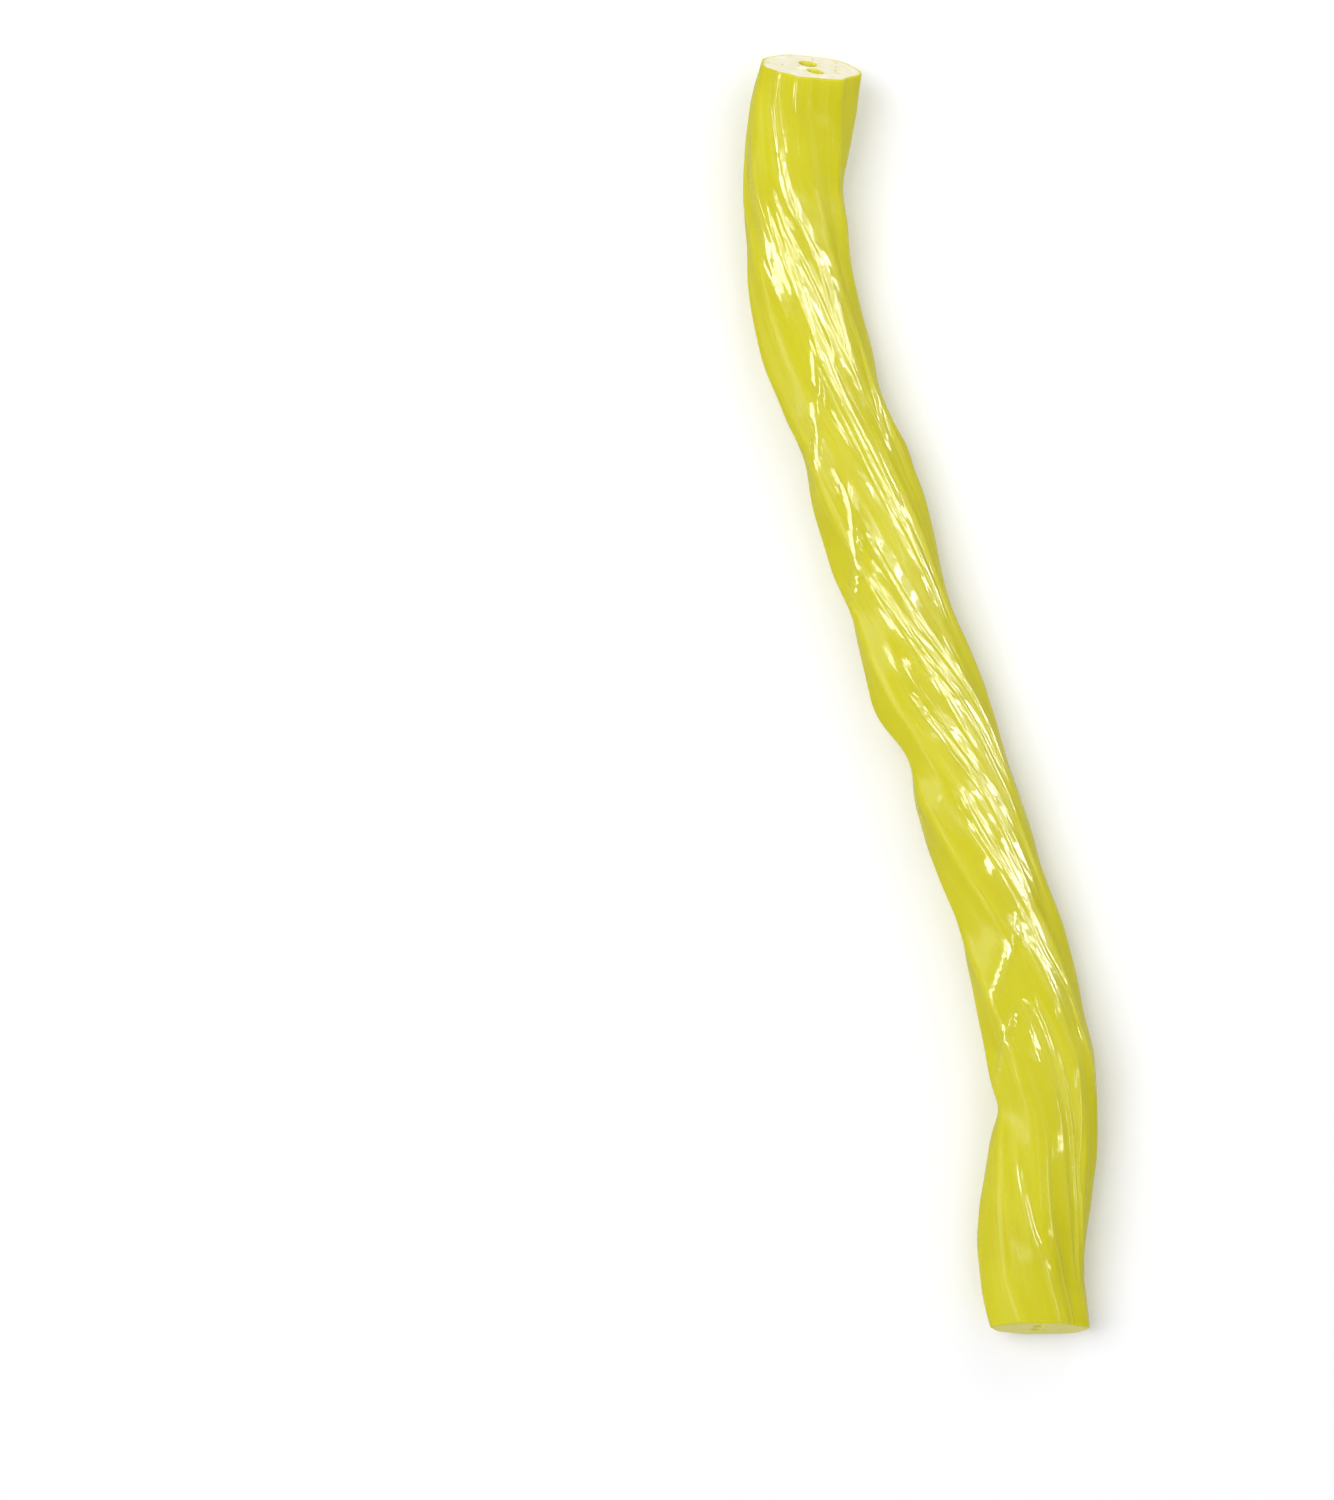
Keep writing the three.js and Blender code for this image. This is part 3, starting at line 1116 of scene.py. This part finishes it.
@dataclass
class CandyEffects:
    """The shader effects that the candy's finishes share, each built once.

    An edge gives the noise at which a pattern starts to show, and the noise at which it shows fully.
    """

    tint_detail: float = 3.0
    deep_edge: tuple[float, float] = (0.42, 0.66)
    pale_edge: tuple[float, float] = (0.5, 0.68)
    streak_scale: float = 0.9
    streak_lengthwise: float = 0.06
    line_lengthwise: float = 0.05
    patch_lengthwise: float = 0.5
    patch_edge: tuple[float, float] = (0.4, 0.6)

    def __post_init__(self) -> None:
        """Builds the groups."""
        self.tint = self.make_tint()
        self.grain = self.make_grain()
        self.specks = self.make_specks()

    def make_tint(self) -> bpy.types.NodeTree:
        """Makes slow patches and lengthwise streaks of a deeper and a paler candy colour.

        Returns:
            The group, which puts out the colour.
        """
        inputs = {
            "Base": (0.7, 0.66, 0.03, 1.0), "Deep": (0.6, 0.5, 0.01, 1.0), "Pale": (0.8, 0.8, 0.2, 1.0),
            "Patches": 0.5, "Streaks": 0.3, "Patch Scale": 0.14,
        }
        group, sheet, source, result = new_group("candy tint", inputs, {"Color": "NodeSocketColor"})
        patches = sheet.noise(sheet.rope_places(), source.outputs["Patch Scale"], self.tint_detail)
        streaks = sheet.noise(sheet.rope_places(self.streak_lengthwise), self.streak_scale)
        deep = sheet.math("MULTIPLY", sheet.span(patches, *self.deep_edge), source.outputs["Patches"])
        pale = sheet.math("MULTIPLY", sheet.span(streaks, *self.pale_edge), source.outputs["Streaks"])
        patched = sheet.mix(deep, source.outputs["Base"], source.outputs["Deep"])
        sheet.feed(result, {"Color": sheet.mix(pale, patched, source.outputs["Pale"])})
        return group

    def make_grain(self) -> bpy.types.NodeTree:
        """Makes fine unevenness of the surface, from orange peel to short drag lines.

        Returns:
            The group, which puts out how high the surface stands, and its coarse part alone.
        """
        inputs = {
            "Fine Scale": 4.0, "Coarse Scale": 1.2, "Lengthwise": 0.6, "Coarse Share": 0.4,
            "Line Scale": 2.2, "Line Share": 0.0, "Patch Scale": 0.22, "Patch Share": 0.6,
        }
        outputs = {"Height": "NodeSocketFloat", "Unevenness": "NodeSocketFloat"}
        group, sheet, source, result = new_group("candy grain", inputs, outputs)
        places = sheet.rope_places(source.outputs["Lengthwise"])
        fine = sheet.noise(places, source.outputs["Fine Scale"])
        coarse = sheet.noise(places, source.outputs["Coarse Scale"])
        lines = sheet.noise(sheet.rope_places(self.line_lengthwise), source.outputs["Line Scale"])
        patches = sheet.noise(sheet.rope_places(self.patch_lengthwise), source.outputs["Patch Scale"])
        between = sheet.math("SUBTRACT", 1.0, sheet.span(patches, *self.patch_edge))
        smoothed = sheet.math("MULTIPLY", between, source.outputs["Patch Share"])
        kept = sheet.math("SUBTRACT", 1.0, smoothed)
        drawn = sheet.math("ADD", fine, sheet.math("MULTIPLY", lines, source.outputs["Line Share"]))
        weighted = sheet.math("MULTIPLY", coarse, source.outputs["Coarse Share"])
        height = sheet.math("ADD", sheet.math("MULTIPLY", drawn, kept), weighted)
        sheet.feed(result, {"Height": height, "Unevenness": coarse})
        return group

    def make_specks(self) -> bpy.types.NodeTree:
        """Makes scattered small round specks: bubbles in the skin and pores in the cut.

        Returns:
            The group, which puts out 1 on a speck and 0 elsewhere.
        """
        inputs = {"Scale": 0.6, "Size": 0.12, "Share": 0.4}
        group, sheet, source, result = new_group("candy specks", inputs, {"Mask": "NodeSocketFloat"})
        cell_inputs = {"Vector": sheet.rope_places(), "Scale": source.outputs["Scale"]}
        cells = sheet.add("ShaderNodeTexVoronoi", cell_inputs)
        near = sheet.math("LESS_THAN", cells.outputs["Distance"], source.outputs["Size"])
        tone = sheet.add("ShaderNodeSeparateColor", {0: cells.outputs["Color"]}).outputs[0]
        chosen = sheet.math("LESS_THAN", tone, source.outputs["Share"])
        sheet.feed(result, {"Mask": sheet.math("MULTIPLY", near, chosen)})
        return group


@dataclass(frozen=True)
class CandyFinish:
    """A surface of the candy, in three tones that run into one another."""

    base: Colour
    deep: Colour
    pale: Colour

    def tinted(self, sheet: NodeSheet, effects: CandyEffects, amounts: dict) -> bpy.types.NodeSocket:
        """Places the shared tint with the finish's own tones, and returns its colour."""
        tones = {"Base": self.base, "Deep": self.deep, "Pale": self.pale}
        return sheet.place_group(effects.tint, tones | amounts).outputs["Color"]


@dataclass(frozen=True)
class SkinFinish(CandyFinish):
    """The yellow-green skin: glossy where the pull polished it, and satin elsewhere."""

    base: Colour = (0.63, 0.59, 0.012, 1.0)
    deep: Colour = (0.575, 0.525, 0.006, 1.0)
    pale: Colour = (0.71, 0.67, 0.06, 1.0)
    speck_strength: float = 0.5
    noise_middle: float = 0.5
    polish_edge: tuple[float, float] = (0.15, 0.6)
    sparkle_scale: float = 5.0
    sparkle_lengthwise: float = 0.5
    sparkle_edge: tuple[float, float] = (0.28, 0.55)
    least_coat: float = 0.05
    peel_height: float = 0.03

    def dress(self, effects: CandyEffects) -> bpy.types.Material:
        """Makes the material.

        Args:
            effects: The shared effects.

        Returns:
            The material of the skin.
        """
        material, sheet, shader = new_material("candy_skin")
        tint = self.tinted(sheet, effects, {"Patches": 0.5, "Streaks": 0.35})
        specks = sheet.place_group(effects.specks, {"Scale": 0.55, "Size": 0.07, "Share": 0.35})
        speck = sheet.math("MULTIPLY", specks.outputs["Mask"], self.speck_strength)
        grain = sheet.place_group(effects.grain, {
            "Fine Scale": 5.5, "Coarse Scale": 1.3, "Lengthwise": 0.3, "Coarse Share": 0.4, "Line Share": 0.6,
        })
        unevenness = sheet.math("SUBTRACT", grain.outputs["Unevenness"], self.noise_middle)
        polished = sheet.span(sheet.math("ADD", sheet.fact("polish"), unevenness), *self.polish_edge)
        sparkle = sheet.noise(sheet.rope_places(self.sparkle_lengthwise), self.sparkle_scale)
        coat = sheet.math("MULTIPLY", polished, sheet.span(sparkle, *self.sparkle_edge))
        sheet.feed(shader, {
            "Base Color": sheet.mix(speck, tint, self.pale),
            "Coat Weight": sheet.math("MAXIMUM", coat, self.least_coat),
            "Normal": sheet.bump(grain.outputs["Height"], self.peel_height),
            "Roughness": 0.4, "IOR": 1.47, "Specular IOR Level": 0.1, "Coat Roughness": 0.06, "Coat IOR": 1.5,
            "Subsurface Weight": 0.35, "Subsurface Radius": (1.0, 0.9, 0.25), "Subsurface Scale": 1.3 * MM,
        })
        return material


@dataclass(frozen=True)
class CutFinish(CandyFinish):
    """The pale waxy face that the blade left, yellow under the skin, with painted shade and reflected candy
    colour in darker yellow-green on the low end's face.
    """

    base: Colour = (0.95, 0.89, 0.65, 1.0)
    deep: Colour = (0.9, 0.82, 0.47, 1.0)
    pale: Colour = (0.98, 0.95, 0.82, 1.0)
    skin: Colour = (0.76, 0.7, 0.1, 1.0)
    # Painted shade: darker yellow-green for the low end's cut face, standing in for its shade and the candy
    # colour it reflects.
    shaded_low_end: Colour = (0.7, 0.66, 0.1, 1.0)
    pore: Colour = (0.56, 0.47, 0.1, 1.0)
    drag_height: float = 0.03
    under_skin: tuple[float, float] = (0.05, 0.35)
    low_end_shade_along: tuple[float, float] = (60.0, 70.0)
    low_end_shade_strength: float = 0.85
    roughness_span: tuple[float, float] = (-0.8, 1.1)

    def dress(self, effects: CandyEffects) -> bpy.types.Material:
        """Makes the material.

        Args:
            effects: The shared effects.

        Returns:
            The material of the cut faces.
        """
        material, sheet, shader = new_material("candy_cut")
        tint = self.tinted(sheet, effects, {"Patches": 0.8, "Streaks": 0.6, "Patch Scale": 0.5})
        pores = sheet.place_group(effects.specks, {"Scale": 1.3, "Size": 0.16, "Share": 0.3}).outputs["Mask"]
        pored = sheet.mix(pores, tint, self.pore)
        edged = sheet.mix(sheet.span(sheet.fact("from_skin"), *self.under_skin), self.skin, pored)
        # Painted shade: a mask along the rope that gives the low end's cut face its darker yellow-green
        # colour.
        places = sheet.add("ShaderNodeSeparateXYZ", {0: sheet.rope_places()})
        shaded_low_end = sheet.span(places.outputs["Z"], *self.low_end_shade_along)
        shaded_low_end = sheet.math("MULTIPLY", shaded_low_end, self.low_end_shade_strength)
        grain = sheet.place_group(effects.grain, {
            "Fine Scale": 3.2, "Coarse Scale": 0.9, "Lengthwise": 1.0, "Coarse Share": 0.8,
        })
        sunk = sheet.math("SUBTRACT", grain.outputs["Height"], pores)
        sheet.feed(shader, {
            "Base Color": sheet.mix(shaded_low_end, edged, self.shaded_low_end),
            "Roughness": sheet.span(grain.outputs["Unevenness"], *self.roughness_span),
            "Normal": sheet.bump(sunk, self.drag_height),
            "IOR": 1.45,
            "Subsurface Weight": 0.3, "Subsurface Radius": (1.0, 0.9, 0.5), "Subsurface Scale": 1.0 * MM,
        })
        return material


@dataclass(frozen=True)
class ChannelFinish(CandyFinish):
    """The damp-looking wall of a channel, in tones lighter than the skin's as painted light on its shaded
    inside.
    """

    # Painted light: these tones are lighter than the skin's, so that the shaded inside of the channel looks
    # lit.
    base: Colour = (0.78, 0.74, 0.05, 1.0)
    deep: Colour = (0.7, 0.64, 0.02, 1.0)
    pale: Colour = (0.85, 0.82, 0.2, 1.0)
    ripple_height: float = 0.02

    def dress(self, effects: CandyEffects) -> bpy.types.Material:
        """Makes the material.

        Args:
            effects: The shared effects.

        Returns:
            The material of the channels' walls.
        """
        material, sheet, shader = new_material("candy_channel")
        tint = self.tinted(sheet, effects, {"Patches": 0.6, "Streaks": 0.6})
        grain = sheet.place_group(effects.grain, {
            "Fine Scale": 3.0, "Coarse Scale": 1.0, "Lengthwise": 0.3, "Coarse Share": 0.5,
        })
        sheet.feed(shader, {
            "Base Color": tint,
            "Normal": sheet.bump(grain.outputs["Height"], self.ripple_height),
            "Roughness": 0.4, "IOR": 1.47,
            "Subsurface Weight": 0.5, "Subsurface Radius": (1.0, 0.9, 0.25), "Subsurface Scale": 1.6 * MM,
        })
        return material


class Lights(Enum):
    """What a light is there for: to light surfaces, or to be mirrored in their gloss."""

    SURFACES = "surfaces"
    GLOSS = "gloss"


@dataclass(frozen=True)
class SoftLight:
    """A rectangular light beside or above the piece, tipped towards its long axis.

    Its width goes across the piece, and its length goes along the piece.
    """

    name: str
    lights: Lights
    place: tuple[float, float, float]
    width: float
    length: float
    power: float

    def hang(self) -> bpy.types.Object:
        """Hangs the light.

        Returns:
            The lamp.
        """
        data = bpy.data.lights.new(self.name, "AREA")
        data.shape = "RECTANGLE"
        data.size = self.width * MM
        data.size_y = self.length * MM
        data.energy = self.power
        lamp = bpy.data.objects.new(self.name, data)
        lamp.location = Vector(self.place) * MM
        lamp.rotation_euler = (0, math.atan2(self.place[0], self.place[2]), 0)
        lamp.visible_camera = False
        lamp.visible_diffuse = self.lights is Lights.SURFACES
        lamp.visible_glossy = self.lights is Lights.GLOSS
        bpy.context.scene.collection.objects.link(lamp)
        return lamp


@dataclass
class Studio:
    """The white table, the soft light and the camera above the middle of the photograph."""

    picture_centre: tuple[float, float] = (-25.3, -5.4)
    picture_height: float = 150.0
    seen_level: float = 5.0
    camera_height: float = 650.0
    sensor_width: float = 36.0
    floor_size: float = 3000.0
    floor_gap: float = 0.02
    floor_roughness: float = 0.7
    floor_colour: Colour = (0.94, 0.94, 0.98, 1.0)
    sky_colour: Colour = (1.0, 1.0, 1.0, 1.0)
    sky_strength: float = 0.5
    lights: tuple[SoftLight, ...] = (
        SoftLight("key_softbox", Lights.SURFACES, (-600, 260, 1380), 900, 900, 11.6),
        SoftLight("fill_softbox", Lights.SURFACES, (300, -800, 1100), 600, 600, 2.2),
        SoftLight("end_softbox", Lights.SURFACES, (70, 130, 180), 120, 120, 0.075),
        SoftLight("back_panel", Lights.GLOSS, (147, 110, 404), 480, 170, 1.05),
        SoftLight("strip_1", Lights.GLOSS, (-75, 95, 423), 40, 110, 0.23),
        SoftLight("strip_2", Lights.GLOSS, (52, 105, 427), 40, 100, 0.25),
        SoftLight("strip_3", Lights.GLOSS, (175, 85, 393), 40, 130, 0.34),
        SoftLight("strip_4", Lights.GLOSS, (282, 125, 325), 40, 150, 0.38),
        SoftLight("strip_5", Lights.GLOSS, (372, 90, 215), 60, 120, 0.65),
        SoftLight("strip_6", Lights.GLOSS, (415, 105, 111), 50, 100, 0.4),
        SoftLight("left_top_strip", Lights.GLOSS, (-150, 20, 403), 50, 130, 0.27),
        SoftLight("front_strip", Lights.GLOSS, (-320, -243, 288), 100, 110, 1.0),
        SoftLight("front_top_strip", Lights.GLOSS, (-75, -100, 423), 50, 80, 0.25),
        SoftLight("side_strip", Lights.GLOSS, (-390, -125, 182), 130, 210, 1.2),
        SoftLight("low_strip", Lights.GLOSS, (215, -120, 372), 50, 120, 0.2),
        SoftLight("left_strip", Lights.GLOSS, (-422, -40, 82), 90, 130, 0.6),
        SoftLight("right_strip", Lights.GLOSS, (419, 205, 97), 90, 60, 0.4),
    )

    def lay_floor(self) -> bpy.types.Object:
        """Lays the table under the piece.

        Returns:
            The table.
        """
        half = self.floor_size / 2 * MM
        mesh = bpy.data.meshes.new("table")
        corners = [(-half, -half, 0), (half, -half, 0), (half, half, 0), (-half, half, 0)]
        mesh.from_pydata(corners, [], [(0, 1, 2, 3)])
        floor = bpy.data.objects.new("table", mesh)
        floor.location.z = -self.floor_gap * MM
        bpy.context.scene.collection.objects.link(floor)
        material, sheet, shader = new_material("table_white")
        sheet.feed(shader, {"Base Color": self.floor_colour, "Roughness": self.floor_roughness})
        mesh.materials.append(material)
        floor.visible_glossy = False
        return floor

    def light(self) -> None:
        """Hangs the softboxes and brightens the surroundings."""
        for softbox in self.lights:
            softbox.hang()
        world = bpy.data.worlds.new("studio")
        world.use_nodes = True
        surroundings = world.node_tree.nodes["Background"]
        surroundings.inputs["Color"].default_value = self.sky_colour
        surroundings.inputs["Strength"].default_value = self.sky_strength
        bpy.context.scene.world = world

    def aim_camera(self) -> bpy.types.Object:
        """Puts the camera over the middle of the picture.

        Returns:
            The camera.
        """
        data = bpy.data.cameras.new("overhead")
        data.sensor_width = self.sensor_width
        data.lens = self.sensor_width * (self.camera_height - self.seen_level) / self.picture_height
        camera = bpy.data.objects.new("overhead", data)
        camera.location = Vector((*self.picture_centre, self.camera_height)) * MM
        bpy.context.scene.collection.objects.link(camera)
        bpy.context.scene.camera = camera
        return camera

    def set_up(self) -> None:
        """Sets up the whole studio."""
        self.lay_floor()
        self.light()
        self.aim_camera()
        bpy.context.scene.view_settings.view_transform = "Standard"


def main() -> None:
    """Builds and dresses the twist, and sets up the studio round it."""
    logging.basicConfig(level=logging.INFO, format="%(name)s: %(message)s")
    rope = CandyRope()
    twist = rope.build()
    effects = CandyEffects()
    for finish in (SkinFinish(), CutFinish(), ChannelFinish()):
        twist.data.materials.append(finish.dress(effects))
    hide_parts("twist")
    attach(twist, "root")
    log.info("%s: %d faces, %.1f mm along its axis", twist.name, len(twist.data.polygons), rope.route.length)
    Studio().set_up()
    log.info("studio: ready")


if __name__ == "__main__":
    main()
